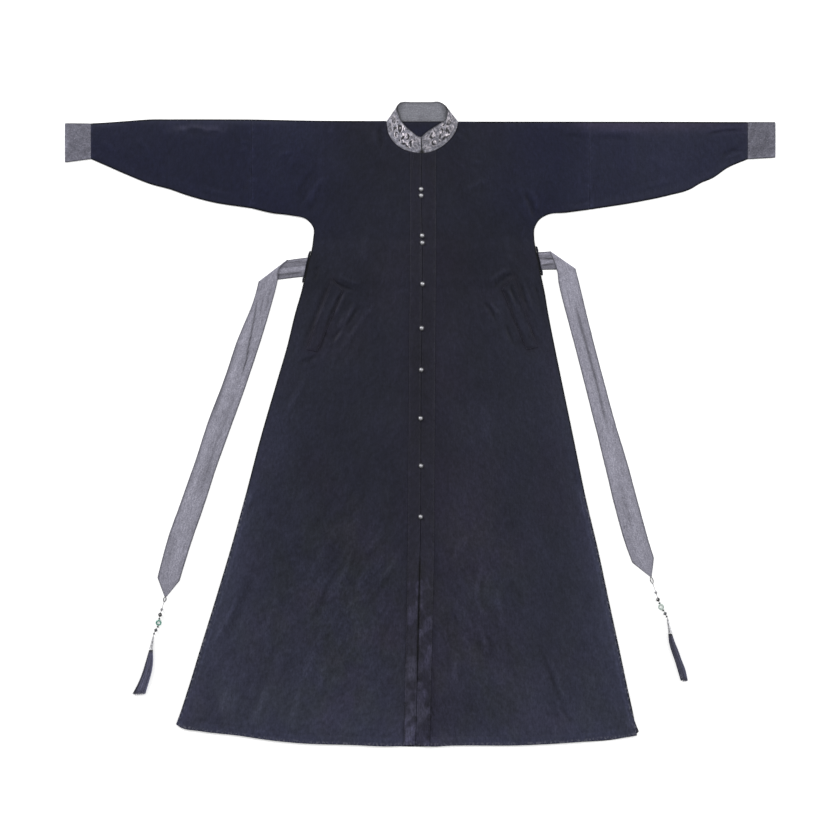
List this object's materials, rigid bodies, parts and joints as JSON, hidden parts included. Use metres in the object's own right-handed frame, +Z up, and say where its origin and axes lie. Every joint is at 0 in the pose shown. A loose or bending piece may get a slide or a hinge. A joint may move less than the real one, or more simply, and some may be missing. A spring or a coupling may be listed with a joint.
{
  "type": "hanfu robe",
  "caption": "Long dark stand-collar robe laid flat face up, with brocade collar, grey cuffs, metal buttons and its own tasselled belt.",
  "frame": {"origin": "middle of the robe's outline seen from above, on the surface it lies on", "axes": "+X along the sleeves, +Y towards the collar, +Z up off the surface"},
  "size_m": [1.491, 1.353, 0.0124],
  "materials": {
    "navy_cloth": "dark navy slub ramie and linen weave, soft sheen",
    "band_cloth": "dark navy weave, pressed and slightly satiny",
    "grey_linen": "mid grey melange linen",
    "cuff_linen": "darker grey melange linen",
    "brocade": "silver-grey brocade with a traditional scroll pattern",
    "button_metal": "polished grey metal dome",
    "silver": "silver-coloured metal",
    "thread": "waxed grey thread",
    "black_bead": "polished black stone",
    "green_bead": "polished dark green stone",
    "jade": "polished jade-green stone",
    "pale_jade": "polished pale jade stone",
    "grey_bead": "faceted dark grey stone",
    "floss": "slate navy silk floss"
  },
  "bodies": {
    "root": {"back": "navy_cloth", "belt": "grey_linen", "belt_loop_left": "navy_cloth", "belt_loop_right": "navy_cloth", "bicone_left": "silver", "bicone_right": "silver", "black_bead_left": "black_bead", "black_bead_right": "black_bead", "button_01": "button_metal", "button_02": "button_metal", "button_03": "button_metal", "button_04": "button_metal", "button_05": "button_metal", "button_06": "button_metal", "button_07": "button_metal", "button_08": "button_metal", "button_09": "button_metal", "button_10": "button_metal", "collar_facing": "grey_linen", "collar_outer": "brocade", "cone_cap_left": "silver", "cone_cap_right": "silver", "cuff_left": "cuff_linen", "cuff_right": "cuff_linen", "front_left": "navy_cloth", "front_right": "navy_cloth", "grey_bead_left": "grey_bead", "grey_bead_right": "grey_bead", "jade_ring_left": "jade", "jade_ring_right": "pale_jade", "placket_left": "band_cloth", "placket_right": "band_cloth", "sleeve_left": "navy_cloth", "sleeve_right": "navy_cloth", "small_bead_left": "thread", "small_bead_right": "thread", "spacer_lower_left": "green_bead", "spacer_lower_right": "green_bead", "spacer_upper_left": "green_bead", "spacer_upper_right": "green_bead", "string_lower_left": "thread", "string_lower_right": "thread", "string_upper_left": "thread", "string_upper_right": "thread", "tassel_left": "floss", "tassel_right": "floss", "tip_loop_left": "thread", "tip_loop_right": "thread", "welt_left": "navy_cloth", "welt_right": "navy_cloth"}
  },
  "joints": []
}
